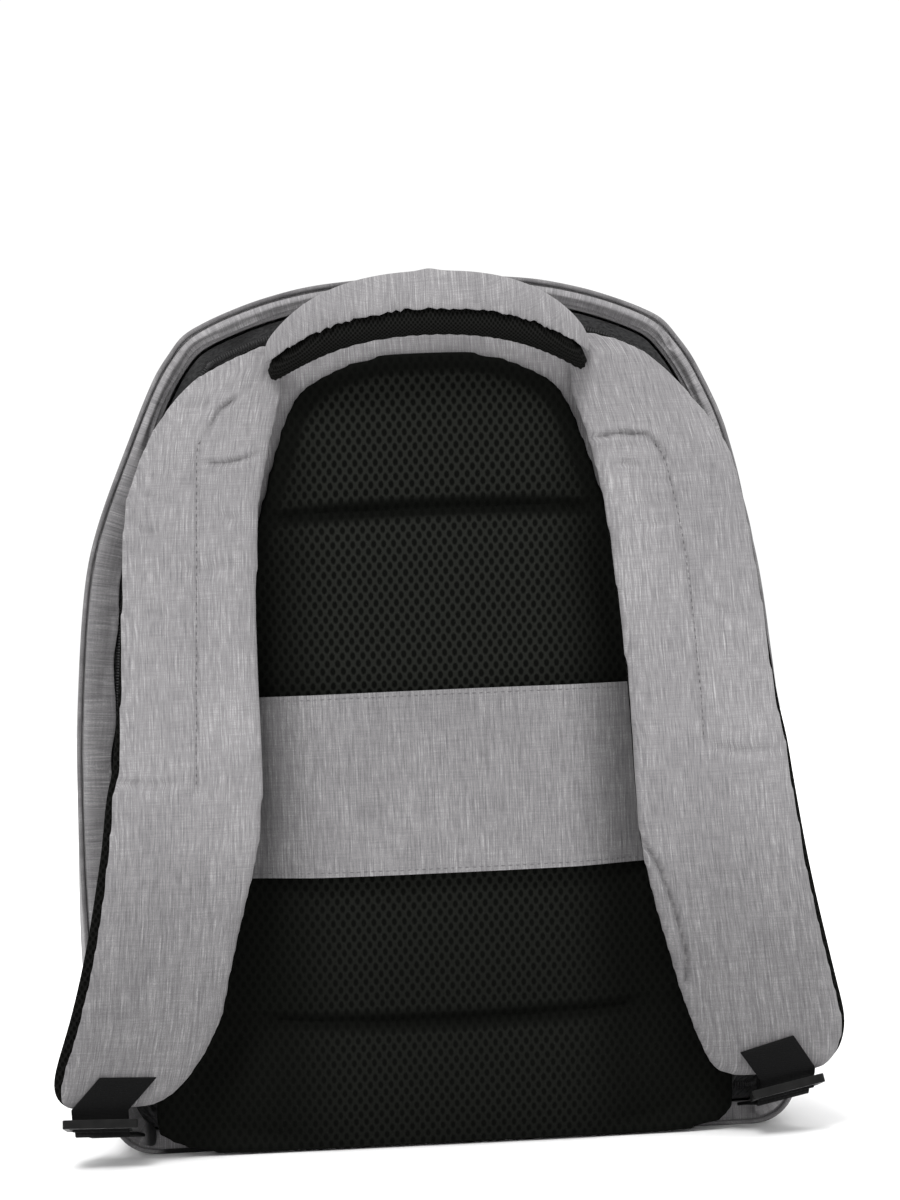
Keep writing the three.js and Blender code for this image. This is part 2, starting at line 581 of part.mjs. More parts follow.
// Tab: down the strap's face, back under its tip and through the lock's first slot
function strapTab(lock) {
  const { tip, places, tilt } = lock;
  const lean = (webWidth / 2) * Math.sin(tilt);
  const face = (z) => read(places, 'front', z + lean) - gap - webThick / 2 - 0.3;
  const high = tip.z + 2 + tabLength * 0.7;
  const low = tip.z + 0.8;
  const heights = [high, ...places.map((p) => p.z).filter((z) => z < high - 2 && z > low + 1), low];
  const seatY = lock.y + barDepth + loopSlot - gap - webThick / 2;
  const seatZ = plateTop(lock, barDepth + loopSlot);
  const down = heights.map((z) => {
    const along = (z - low) / (high - low);
    const x = lock.x - tip.side * tabLength * lock.slant * along;
    return { x, y: face(z), z, tilt: tilt * (1 + 0.3 * along) };
  });
  return webbing([
    ...down,
    { x: lock.x, y: face(low) + 1.5, z: tip.z - 1.7, tilt },
    { x: lock.x, y: seatY - 0.5, z: seatZ + 1.5, tilt },
    { x: lock.x, y: seatY, z: seatZ - 1.2, tilt },
    { x: lock.x, y: seatY, z: seatZ - lockThick - 1, tilt },
  ], webWidth);
}
add('strap_tab_left', strapTab(leftLock), darkCloth);
add('strap_tab_right', strapTab(rightLock), darkCloth);

// Adjusting webbing: from the band at the bottom corner under the lock's last bar, up through
// its slot and a short way up behind the strap
function adjuster(lock) {
  const { places, tip, tilt, x } = lock;
  const slotY = lock.y + lockLength - barDepth - webThick * 1.3;
  const rearY = lock.y + lockLength;
  const under = plateTop(lock, lockLength) - lockThick - webThick / 2 - gap;
  const behind = (z) => read(places, 'back', z) + gap + webThick / 2;
  const climb = tip.z + 8;
  return webbing([
    { x: x - tip.side * 7, y: rimFront - gap, z: under - 4, tilt: tilt * 0.5 },
    { x: x - tip.side * 4, y: (rimFront + rearY) / 2 - 2, z: under - 1.5, tilt: tilt * 0.8 },
    { x, y: rearY - 0.5, z: under - 0.2, tilt },
    { x, y: rearY - barDepth - 0.6, z: under - 0.2, tilt },
    { x, y: slotY, z: under + 1, tilt },
    { x, y: slotY, z: lock.z + 3, tilt },
    { x, y: behind(climb), z: climb, tilt: tilt * 0.7 },
    ...places.filter((p) => p.z > climb + 4 && p.z <= tailHeight + 4).reverse()
      .map((p) => ({ x, y: behind(p.z), z: p.z, tilt: 0 })),
  ], webWidth - 1);
}
add('adjuster_webbing_left', adjuster(leftLock), darkCloth);
add('adjuster_webbing_right', adjuster(rightLock), darkCloth);

export default object;
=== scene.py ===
import math

import bpy
import numpy as np
from mathutils import Matrix, Vector, noise
from mathutils.bvhtree import BVHTree


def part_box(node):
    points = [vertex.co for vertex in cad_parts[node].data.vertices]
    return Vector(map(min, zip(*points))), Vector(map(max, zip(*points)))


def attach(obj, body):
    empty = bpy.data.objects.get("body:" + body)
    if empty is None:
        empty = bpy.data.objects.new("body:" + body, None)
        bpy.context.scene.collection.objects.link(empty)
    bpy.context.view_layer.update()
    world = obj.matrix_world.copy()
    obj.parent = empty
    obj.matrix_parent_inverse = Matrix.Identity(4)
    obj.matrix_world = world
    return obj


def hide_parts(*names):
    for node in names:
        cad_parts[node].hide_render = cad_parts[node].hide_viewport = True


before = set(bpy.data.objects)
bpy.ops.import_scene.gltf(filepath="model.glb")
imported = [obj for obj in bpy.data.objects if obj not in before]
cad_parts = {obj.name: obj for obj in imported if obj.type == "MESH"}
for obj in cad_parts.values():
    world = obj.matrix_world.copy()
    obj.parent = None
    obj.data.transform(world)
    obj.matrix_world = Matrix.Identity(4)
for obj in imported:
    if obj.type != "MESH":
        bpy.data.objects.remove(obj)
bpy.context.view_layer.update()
mm = 0.001


# Selecting, copying and finishing
def selectOnly(obj):
    bpy.ops.object.select_all(action="DESELECT")
    obj.select_set(True)
    bpy.context.view_layer.objects.active = obj


def inEditMode(obj, *steps):
    selectOnly(obj)
    bpy.ops.object.mode_set(mode="EDIT")
    bpy.ops.mesh.select_all(action="SELECT")
    for step in steps:
        step()
    bpy.ops.object.mode_set(mode="OBJECT")


def copyOfNode(node, name):
    obj = bpy.data.objects.new(name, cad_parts[node].data.copy())
    bpy.context.scene.collection.objects.link(obj)
    obj.data.materials.clear()
    wide = math.radians(80)
    inEditMode(
        obj,
        lambda: bpy.ops.mesh.remove_doubles(threshold=0.01 * mm),
        lambda: bpy.ops.mesh.tris_convert_to_quads(face_threshold=wide, shape_threshold=wide),
    )
    return obj


def modify(obj, kind, **settings):
    modifier = obj.modifiers.new(kind.lower(), kind)
    for key, value in settings.items():
        setattr(modifier, key, value)
    selectOnly(obj)
    bpy.ops.object.modifier_apply(modifier=modifier.name)


def smooth(obj, levels):
    modify(obj, "SUBSURF", levels=levels, render_levels=levels)


def finishPiece(obj, slot, material, *nodes):
    obj.data.materials.clear()
    obj.data.materials.append(material)
    selectOnly(obj)
    bpy.ops.object.shade_smooth_by_angle(angle=math.radians(50))
    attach(obj, "root")
    if nodes:
        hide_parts(*nodes)


# The points of a mesh as an array, and what moves them
def pointsOf(obj):
    places = np.empty(len(obj.data.vertices) * 3)
    obj.data.vertices.foreach_get("co", places)
    return places.reshape(-1, 3)


def normalsOf(obj):
    normals = np.empty(len(obj.data.vertices) * 3)
    obj.data.vertex_normals.foreach_get("vector", normals)
    return normals.reshape(-1, 3)


def setPoints(obj, places):
    obj.data.vertices.foreach_set("co", places.ravel())
    obj.data.update()


def ramp(low, high, value):
    share = np.clip((value - low) / (high - low), 0, 1)
    return share * share * (3 - 2 * share)


def bumps(places, size, seed):  # smooth noise from -1 to 1, size in metres along each axis
    scaled = places / np.array(size) + seed * 7.3
    return np.array([noise.noise(Vector(p)) for p in scaled])


def inMetres(line):
    return [(x * mm, z * mm) for x, z in line]


# For every place, its distance in the XZ plane to a line of (x, z) points, and how far along
# the line the nearest point lies, from 0 to 1
def nearLine(places, line):
    flat = places[:, [0, 2]]
    line = np.array(line)
    lengths = np.linalg.norm(np.diff(line, axis=0), axis=1)
    gone, nearest, share = 0.0, np.full(len(flat), 1.0), np.zeros(len(flat))
    for a, b, length in zip(line[:-1], line[1:], lengths):
        part = np.clip(((flat - a) @ (b - a)) / length ** 2, 0, 1)
        away = np.linalg.norm(flat - a - part[:, None] * (b - a), axis=1)
        share = np.where(away < nearest, (gone + part * length) / lengths.sum(), share)
        nearest = np.minimum(nearest, away)
        gone += length
    return nearest, share


def awayFrom(places, line):
    return nearLine(places, line)[0]


def around(distance, width):  # 1 on a line, fading to nothing a few widths away
    return np.exp(-((distance / width) ** 2))


def weaveMap(obj, across, along, third=0):  # where each point lies in its cloth, for the threads
    spots = np.column_stack([across, along, across * 0 + third]).astype(np.float32)
    attribute = obj.data.attributes.new("weave", "FLOAT_VECTOR", "POINT")
    attribute.data.foreach_set("vector", spots.ravel())


def swell(obj, voxel, pressure, cap, held):  # padded cloth, blown up a little between its seams
    modify(obj, "REMESH", mode="VOXEL", voxel_size=voxel, use_smooth_shade=True)
    modify(obj, "SMOOTH", factor=0.5, iterations=9)
    before = pointsOf(obj)
    group = obj.vertex_groups.new(name="held")
    group.add([int(i) for i in np.flatnonzero(held(before))], 1.0, "REPLACE")
    cloth = obj.modifiers.new("cloth", "CLOTH")
    cloth.settings.quality = 4
    cloth.settings.mass = 0.3
    cloth.settings.tension_stiffness = 12
    cloth.settings.bending_stiffness = 2
    cloth.settings.use_pressure = True
    cloth.settings.uniform_pressure_force = pressure
    cloth.settings.effector_weights.gravity = 0
    cloth.settings.vertex_group_mass = "held"
    cloth.collision_settings.use_collision = False
    for step in range(1, 21):
        bpy.context.scene.frame_set(step)
    selectOnly(obj)
    bpy.ops.object.modifier_apply(modifier="cloth")
    bpy.context.scene.frame_set(1)
    shift = pointsOf(obj) - before
    length = np.linalg.norm(shift, axis=1)
    shift *= np.minimum(1, cap / np.maximum(length, 1e-9))[:, None]
    shift[:, [0, 2]] *= 0.2  # the outline stays as it is cut
    setPoints(obj, before + shift)
    obj.vertex_groups.clear()
    modify(obj, "SMOOTH", factor=0.5, iterations=4)


# Lines that a seam, a zip or a row of stitches follows
def evenly(line, step, closed=False):  # a smooth line through the points, at even steps
    line = np.array(line, float)
    if closed:
        line = np.vstack([line, line[:1]])
    gone = np.concatenate([[0], np.cumsum(np.linalg.norm(np.diff(line, axis=0), axis=1))])
    if closed:
        before, after = line[-2], line[1]
    else:
        before, after = 2 * line[0] - line[1], 2 * line[-1] - line[-2]
    padded = np.vstack([before, line, after])
    fine = []
    for i in range(len(line) - 1):
        a, b, c, d = padded[i:i + 4]
        for t in np.linspace(0, 1, 12, endpoint=False):
            fine.append(0.5 * (2 * b + (c - a) * t + (2 * a - 5 * b + 4 * c - d) * t ** 2
                               + (3 * b - a - 3 * c + d) * t ** 3))
    fine = np.array(fine + [line[-1]])
    gone = np.concatenate([[0], np.cumsum(np.linalg.norm(np.diff(fine, axis=0), axis=1))])
    count = max(2, round(gone[-1] / step))
    stops = np.linspace(0, gone[-1], count + 1)
    if closed:
        stops = stops[:-1]
    return np.column_stack([np.interp(stops, gone, fine[:, k]) for k in range(fine.shape[1])])


def rimLine(inset, step=2.5 * mm):  # the bag's outline in XZ, drawn in by the inset
    shell = pointsOf(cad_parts["body_shell"])
    level = np.unique(np.round(shell[:, 1], 5))[1]
    ring = np.unique(np.round(shell[np.abs(shell[:, 1] - level) < 0.1 * mm][:, [0, 2]], 6), axis=0)
    turn = np.arctan2(ring[:, 1] - 0.2, ring[:, 0])
    line = evenly(ring[np.argsort(turn)], step, closed=True)
    ahead = np.roll(line, -1, axis=0) - np.roll(line, 1, axis=0)
    ahead /= np.linalg.norm(ahead, axis=1)[:, None]
    return line + inset * np.column_stack([-ahead[:, 1], ahead[:, 0]])


def overTop(line, low):  # the open stretch of a closed line that runs over the top, above low
    start = int(np.argmin(line[:, 1] + 10 * np.abs(line[:, 0])))
    line = np.roll(line, -start, axis=0)
    return line[line[:, 1] > low]


def onSurface(tree, line, lift, y=-0.2):  # the line dropped along +Y on a surface seen from the wearer
    out = []
    for x, z in line:
        hit, normal, _, _ = tree.ray_cast(Vector((x, y, z)), Vector((0, 1, 0)))
        if hit:
            out.append(hit + normal * lift)
    return out


def treeOf(obj):
    return BVHTree.FromObject(obj, bpy.context.evaluated_depsgraph_get())


def repeatAlong(model, name, places):  # one mesh of many copies, each at its own matrix
    corners = pointsOf(model)
    faces = [list(p.vertices) for p in model.data.polygons]
    allCorners, allFaces = [], []
    for i, place in enumerate(places):
        turned = corners @ np.array(place.to_3x3()).T + np.array(place.translation)
        allCorners.extend(turned.tolist())
        allFaces.extend([[k + i * len(corners) for k in face] for face in faces])
    mesh = bpy.data.meshes.new(name)
    mesh.from_pydata(allCorners, [], allFaces)
    mesh.update()
    obj = bpy.data.objects.new(name, mesh)
    bpy.context.scene.collection.objects.link(obj)
    bpy.data.objects.remove(model)
    return obj


def placedOn(a, b, up):  # a matrix with X from a to b and Z as near up as it can be
    x = (b - a).normalized()
    z = (up - x * up.dot(x)).normalized()
    turn = Matrix((x, z.cross(x), z)).transposed()
    return Matrix.Translation((a + b) / 2) @ turn.to_4x4()


def makeStitch(length, thick):  # one stitch: a short rounded stick along X
    bpy.ops.object.select_all(action="DESELECT")
    bpy.ops.mesh.primitive_uv_sphere_add(segments=6, ring_count=4, radius=0.5)
    obj = bpy.context.object
    places = pointsOf(obj) * np.array([length, thick, thick])
    setPoints(obj, places)
    return obj


def sewLine(name, spots, stitch, space, thick):  # a row of stitches on the wearer's side
    up = Vector((0, -1, 0))
    spots = [Vector(p) for p in spots]
    gone = np.concatenate([[0], np.cumsum([(b - a).length for a, b in zip(spots, spots[1:])])])
    flat = np.array(spots)

    def at(s):
        return Vector([np.interp(s, gone, flat[:, k]) for k in range(3)])

    starts = np.arange(0, gone[-1] - stitch, stitch + space)
    places = [placedOn(at(s), at(s + stitch), up) for s in starts]
    obj = repeatAlong(makeStitch(stitch, thick), name, places)
    finishPiece(obj, "melange_cloth", greyThread)


# Shaders
class Wire:  # a socket that sums, products and masks are written with
    def __init__(self, shader, socket):
        self.shader = shader
        self.socket = socket

    def math(self, operation, *values):
        inputs = {i: value for i, value in enumerate(values)}
        return self.shader.node("ShaderNodeMath", {"operation": operation}, inputs)

    def __add__(self, other):
        return self.math("ADD", self, other)

    def __sub__(self, other):
        return self.math("SUBTRACT", self, other)

    def __mul__(self, other):
        return self.math("MULTIPLY", self, other)

    def __truediv__(self, other):
        return self.math("DIVIDE", self, other)

    def __rsub__(self, other):
        return self.math("SUBTRACT", other, self)

    __radd__ = __add__
    __rmul__ = __mul__


class Shader:
    def __init__(self, name):
        self.material = bpy.data.materials.new(name)
        self.material.use_nodes = True
        self.tree = self.material.node_tree
        self.surface = self.tree.nodes["Principled BSDF"]

    def node(self, kind, settings=None, inputs=None, output=0):
        made = self.tree.nodes.new(kind)
        for key, value in (settings or {}).items():
            if key == "stops":
                self.setStops(made.color_ramp, value)
            else:
                setattr(made, key, value)
        for key, value in (inputs or {}).items():
            self.feed(made.inputs[key], value)
        return Wire(self, made.outputs[output])

    def feed(self, socket, value):
        if isinstance(value, Wire):
            self.tree.links.new(value.socket, socket)
        else:
            socket.default_value = value

    def setStops(self, band, stops):
        for i, (place, color) in enumerate(stops):
            stop = band.elements[i] if i < 2 else band.elements.new(place)
            stop.position = place
            stop.color = (*color, 1)

    def inCloth(self):  # a place in the cloth, from the weave map
        return self.node("ShaderNodeAttribute", {"attribute_name": "weave"}, output="Vector")

    def inObject(self):
        return self.node("ShaderNodeTexCoord", output="Object")

    def split(self, vector):  # the three parts of a vector
        first = self.node("ShaderNodeSeparateXYZ", {}, {0: vector})
        return [Wire(self, socket) for socket in first.socket.node.outputs]

    def mix(self, factor, low, high):  # a color between two
        inputs = {0: factor, 6: low, 7: high}
        return self.node("ShaderNodeMix", {"data_type": "RGBA"}, inputs, output=2)

    def colors(self, factor, stops):
        return self.node("ShaderNodeValToRGB", {"stops": stops}, {"Fac": factor})

    def noise(self, place, scale, detail=2.0, rough=0.5):
        spread = self.node("ShaderNodeVectorMath", {"operation": "MULTIPLY"}, {0: place, 1: scale})
        inputs = {"Vector": spread, "Scale": 1.0, "Detail": detail, "Roughness": rough}
        return self.node("ShaderNodeTexNoise", {}, inputs)

    def step(self, value, low, high):
        settings = {"interpolation_type": "SMOOTHSTEP"}
        inputs = {"Value": value, "From Min": low, "From Max": high}
        return self.node("ShaderNodeMapRange", settings, inputs)

    def bump(self, height, distance, strength):
        inputs = {"Height": height, "Distance": distance, "Strength": strength}
        return self.node("ShaderNodeBump", {}, inputs)

    def finish(self, **sockets):
        for name, value in sockets.items():
            self.feed(self.surface.inputs[name.replace("_", " ")], value)
        return self.material


def melangeCloth(name, dark=1.0):  # the third part of the weave map blackens the cloth, mostly as painted shade
    s = Shader(name)
    place = s.inCloth()
    black = s.split(place)[2]
    warp = s.noise(place, (1700, 38, 1), 1, 0.5)  # long threads
    slub = s.noise(place, (1500, 120, 1), 1, 0.5)  # short pale slubs among them
    weft = s.noise(place, (70, 1700, 1), 1, 0.5)
    grain = s.noise(place, (2400, 2400, 1), 2, 0.7)
    cloud = s.noise(place, (16, 9, 1), 2, 0.5)
    tone = warp * 0.3 + slub * 0.3 + weft * 0.14 + grain * 0.32 + cloud * 0.16
    greys = [
        (0.45, (0.118, 0.114, 0.119)),
        (0.56, (0.172, 0.167, 0.172)),
        (0.65, (0.218, 0.212, 0.217)),
        (0.77, (0.35, 0.344, 0.347)),
    ]
    color = s.colors(tone, [(stop, tuple(part * dark for part in grey)) for stop, grey in greys])
    color = s.mix(black, color, (0.007, 0.007, 0.007, 1))
    height = warp * 0.35 + slub * 0.35 + weft * 0.35 + grain * 0.3
    return s.finish(
        Base_Color=color, Roughness=0.85, Specular_IOR_Level=0.2, Sheen_Weight=0.08, Sheen_Roughness=0.5,
        Normal=s.bump(height, 0.3 * mm, 0.5),
    )


# Spacer mesh with staggered oval holes; the third part of the weave map presses them shut and darkens the
# web, both for pressing and as painted shade
def airMesh(name, pitch=5.1, row=7.4, web=(0.0108, 0.0115, 0.0099), hole=(0.0018, 0.002, 0.0016)):
    s = Shader(name)
    place = s.inCloth()
    x, z, pressedAndPaintedShade = s.split(place)
    across = x / (pitch * mm) + s.noise(place, (60, 60, 1), 1, 0.5) * 0.2
    along = z / (row * mm)

    def holes(shift):  # how far it is from the nearest hole of one set of rows
        u = across.math("FRACT", across + shift) - 0.5
        v = along.math("FRACT", along + shift) - 0.5
        return across.math("SQRT", u * u * 19 + v * v * 16)

    near = across.math("MINIMUM", holes(0.0), holes(0.5))
    solid = s.step(near, 0.6, 1.4)
    rib = s.noise(place, (900, 500, 1), 2, 0.6)
    share = solid * (0.7 + rib * 0.6) * (1 - pressedAndPaintedShade * 0.85)
    color = s.mix(share, (*hole, 1), (*web, 1))
    height = (solid - 1) * (1 - pressedAndPaintedShade) + rib * 0.3
    return s.finish(
        Base_Color=color, Roughness=0.8, Specular_IOR_Level=0.03, Normal=s.bump(height, 0.8 * mm, 0.8),
    )


def ribbedWebbing(name, rib=1.3, column=2.2):
    s = Shader(name)
    place = s.inCloth()
    across, along, _ = s.split(place)
    ribs = along.math("SINE", along * (2 * math.pi / (rib * mm)))
    columns = across.math("SINE", across * (2 * math.pi / (column * mm)))
    fuzz = s.noise(place, (1500, 1500, 1), 2, 0.6)
    height = ribs * 0.3 + columns * 0.3 + fuzz * 0.5
    color = s.colors(fuzz, [(0.3, (0.0015, 0.0015, 0.0015)), (0.7, (0.005, 0.005, 0.0052))])
    normal = s.bump(height, 0.25 * mm, 0.7)
    return s.finish(Base_Color=color, Roughness=0.6, Specular_IOR_Level=0.06, Normal=normal)


def mouldedPlastic(name):
    s = Shader(name)
    place = s.inObject()
    grain = s.noise(place, (2500, 2500, 2500), 2, 0.5)
    wear = s.noise(place, (120, 120, 120), 2, 0.6)
    return s.finish(
        Base_Color=s.colors(wear, [(0.35, (0.003, 0.003, 0.003)), (0.7, (0.008, 0.008, 0.0077))]),
        Roughness=0.28 + wear * 0.18, Specular_IOR_Level=0.12, Normal=s.bump(grain, 0.05 * mm, 0.4),
    )


def zipCloth(name):
    s = Shader(name)
    place = s.inCloth()
    twill = s.noise(place, (500, 1400, 1), 2, 0.6)
    color = s.colors(twill, [(0.3, (0.012, 0.012, 0.0125)), (0.7, (0.05, 0.05, 0.051))])
    normal = s.bump(twill, 0.3 * mm, 0.6)
    return s.finish(Base_Color=color, Roughness=0.8, Specular_IOR_Level=0.15, Normal=normal)


def coilPlastic(name):
    s = Shader(name)
    place = s.inObject()
    speck = s.noise(place, (900, 900, 900), 1, 0.5)
    color = s.colors(speck, [(0.3, (0.01, 0.01, 0.01)), (0.7, (0.025, 0.025, 0.026))])
    return s.finish(Base_Color=color, Roughness=0.4 + speck * 0.15, Specular_IOR_Level=0.3)


def lacqueredMetal(name):
    s = Shader(name)
    place = s.inObject()
    wear = s.noise(place, (400, 400, 400), 3, 0.6)
    color = s.colors(wear, [(0.45, (0.02, 0.02, 0.02)), (0.8, (0.08, 0.08, 0.08))])
    return s.finish(Base_Color=color, Metallic=0.6, Roughness=0.3 + wear * 0.2)


def sewingThread(name, tone):
    s = Shader(name)
    place = s.inObject()
    twist = s.noise(place, (1800, 1800, 1800), 1, 0.5)
    low, high = tuple(0.75 * c for c in tone), tuple(1.2 * c for c in tone)
    return s.finish(Base_Color=s.colors(twist, [(0.3, low), (0.7, high)]), Roughness=0.6)


cloth = melangeCloth("melange cloth")
# a darker cloth for the piping
edgeCloth = melangeCloth("melange cloth, darker edge", 0.7)
mesh = airMesh("air mesh")
liningMesh = airMesh("strap air mesh", 3.2, 4.4, (0.006, 0.006, 0.0056))
handleMesh = airMesh("handle air mesh", 2.2, 2.8, (0.0085, 0.0085, 0.008))
webbing = ribbedWebbing("black webbing")
plastic = mouldedPlastic("black plastic")
tapeCloth = zipCloth("zip tape")
coilLook = coilPlastic("zip coil")
metal = lacqueredMetal("lacquered metal")
greyThread = sewingThread("grey thread", (0.085, 0.081, 0.085))
print("materials made")


# Camera, light and floor
view = {"aim": (0.006, -0.08, 0.274), "distance": 1.75, "turn": 3.5, "roll": 2.4, "lens": 105}


def makeCamera():
    turn = math.radians(view["turn"])
    ahead = Vector((math.sin(turn), math.cos(turn), 0))
    bpy.ops.object.select_all(action="DESELECT")
    bpy.ops.object.camera_add()
    camera = bpy.context.object
    camera.data.lens = view["lens"]
    camera.data.sensor_width = 36
    camera.data.clip_start = 0.01
    level = Matrix.Rotation(-turn, 4, "Z") @ Matrix.Rotation(math.pi / 2, 4, "X")
    roll = Matrix.Rotation(-math.radians(view["roll"]), 4, "Z")
    camera.matrix_world = Matrix.Translation(Vector(view["aim"]) - ahead * view["distance"]) @ level @ roll
    bpy.context.scene.camera = camera


def makeSun(name, fromWhere, strength, spread):
    bpy.ops.object.select_all(action="DESELECT")
    bpy.ops.object.light_add(type="SUN", location=fromWhere)
    lamp = bpy.context.object
    lamp.name = name
    lamp.data.energy = strength
    lamp.data.angle = math.radians(spread)
    lamp.rotation_mode = "QUATERNION"
    lamp.rotation_quaternion = Vector(fromWhere).to_track_quat("Z", "Y")


def makeFloor():
    bpy.ops.object.select_all(action="DESELECT")
    bpy.ops.mesh.primitive_plane_add(size=12)
    floor = bpy.context.object
    floor.name = "floor"
    s = Shader("pale floor")
    place = s.inObject()
    faint = s.noise(place, (3, 3, 3), 2, 0.5)
    tones = s.colors(faint, [(0.3, (0.95, 0.95, 0.95)), (0.7, (0.97, 0.97, 0.97))])
    s.finish(Base_Color=tones, Roughness=0.9, Specular_IOR_Level=0.1)
    floor.data.materials.append(s.material)


makeCamera()
makeSun("key", (-0.7, -2.0, 2.6), 1.9, 18)
makeSun("fill", (2.0, -1.8, 0.8), 0.35, 60)
makeSun("top", (0.2, -0.3, 2.0), 0.8, 40)
makeFloor()
world = bpy.data.worlds.new("studio")
bpy.context.scene.world = world
world.use_nodes = True
world.node_tree.nodes["Background"].inputs["Color"].default_value = (1, 1, 1, 1)
world.node_tree.nodes["Background"].inputs["Strength"].default_value = 1.04
bpy.context.scene.view_settings.view_transform = "Standard"
print("camera, lights and floor made")


# The right side of the bag hangs inwards behind its strap: pull in mm by height in mm
sideSag = {
    "height": (120, 134, 150, 172, 190, 210, 246, 298, 320, 340, 358, 368),
    "pull": (0, 2, 4.5, 7.5, 9, 10, 10.5, 10.5, 8.5, 4.5, 1, 0),
}


def sagSide(places):
    pull = np.interp(places[:, 2] / mm, sideSag["height"], sideSag["pull"]) * mm
    deep = 1 + 0.35 * ramp(-0.045, -0.01, places[:, 1])
    places[:, 0] -= pull * deep * ramp(0.1, 0.178, places[:, 0])


# Shell of the bag: the CAD shell made smooth, then sagged and creased
shellLook = {"dent": 2.4, "dentSize": 0.09, "crease": 0.9, "creaseSize": 0.028}


def makeShell():
    obj = copyOfNode("body_shell", "shell_cloth")
    smooth(obj, 2)
    places = pointsOf(obj)
    lip = places[:, 1].min()
    free = ramp(lip + 3 * mm, lip + 30 * mm, places[:, 1]) * ramp(0.5 * mm, 35 * mm, places[:, 2])
    size = (shellLook["dentSize"],) * 3
    middle = np.array([0, 0.01, 0.2])
    outward = (places - middle) / np.linalg.norm(places - middle, axis=1)[:, None]
    dent = bumps(places, size, 1) * shellLook["dent"] * mm
    creaseSize = np.array([1, 1, 2.2]) * shellLook["creaseSize"]
    crease = (0.5 - np.abs(bumps(places, creaseSize, 2))) * shellLook["crease"] * mm
    low = 1 - 0.6 * ramp(0.05, 0.3, places[:, 2])
    places += outward * (free * (dent + crease * low))[:, None]
    sagSide(places)
    setPoints(obj, places)
    normal = normalsOf(obj)
    side = ramp(0.4, 0.85, np.abs(normal[:, 0]))
    top = ramp(0.4, 0.85, np.abs(normal[:, 2]))
    x, y, z = places.T
    depth = 0.08 - y
    across = x * (1 - side) + np.sign(x) * (0.19 + depth) * side
    along = z * (1 - top) + (0.44 + depth) * top
    weaveMap(obj, across, along)
    finishPiece(obj, "melange_cloth", cloth, "body_shell")


makeShell()
print("shell made")


# Piping on the shell's edge, with the seam beside it
piping = {"inset": 1.3, "thick": 2.5, "y": -48.5}


def paintedShadeAtBottom(places, left, right):  # painted shade: black where the bottom of the bag lies in shadow under the mesh
    x = places[:, 0]
    inside = ramp(left - 3 * mm, left + 3 * mm, x) * ramp(right + 3 * mm, right - 3 * mm, x)
    return inside * ramp(26 * mm, 20 * mm, places[:, 2])


def makePiping():
    line = rimLine(piping["inset"] * mm)
    bpy.ops.object.select_all(action="DESELECT")
    bpy.ops.curve.primitive_bezier_circle_add(radius=0.1)
    obj = bpy.context.object
    obj.name = "rim_piping"
    spline = obj.data.splines.new("POLY")
    obj.data.splines.remove(obj.data.splines[0])
    spline.points.add(len(line) - 1)
    wave = bumps(np.column_stack([line[:, 0], line[:, 0] * 0, line[:, 1]]), (0.02,) * 3, 3)
    for point, (x, z), w in zip(spline.points, line, wave):
        point.co = (x, (piping["y"] + 0.35 * w) * mm, z, 1)
    spline.use_cyclic_u = True
    obj.data.dimensions = "3D"
    obj.data.bevel_depth = piping["thick"] * mm / 2
    obj.data.bevel_resolution = 3
    selectOnly(obj)
    bpy.ops.object.convert(target="MESH")
    places = pointsOf(obj)
    # painted shade: the piping is black along the bottom, in shadow under the mesh
    black = paintedShadeAtBottom(places, -0.15, -0.012)
    weaveMap(obj, places[:, 1], np.arctan2(places[:, 2] - 0.2, places[:, 0]) * 0.2, black)
    sagSide(places)
    setPoints(obj, places)
    finishPiece(obj, "melange_cloth", edgeCloth)


makePiping()
print("piping made")


# Soft band that hides the zip, wrinkled along its inner edge
rimBand = {
    "inner": 14.8,
    "fold": 4.5,
    "wider": 3.6,
    "narrower": 4.4,
    "pucker": 1.3,
    "gather": 1.3,
    "roll": 1.3,
    "cornerFold": [(121.5, 412), (122.1, 408.9), (124.2, 398.7)],
    "foldWidth": 1.8,
    "foldDepth": 4,
    "back": 48.6,
    "overTeeth": 2.2,
    "thick": 1.3,
}


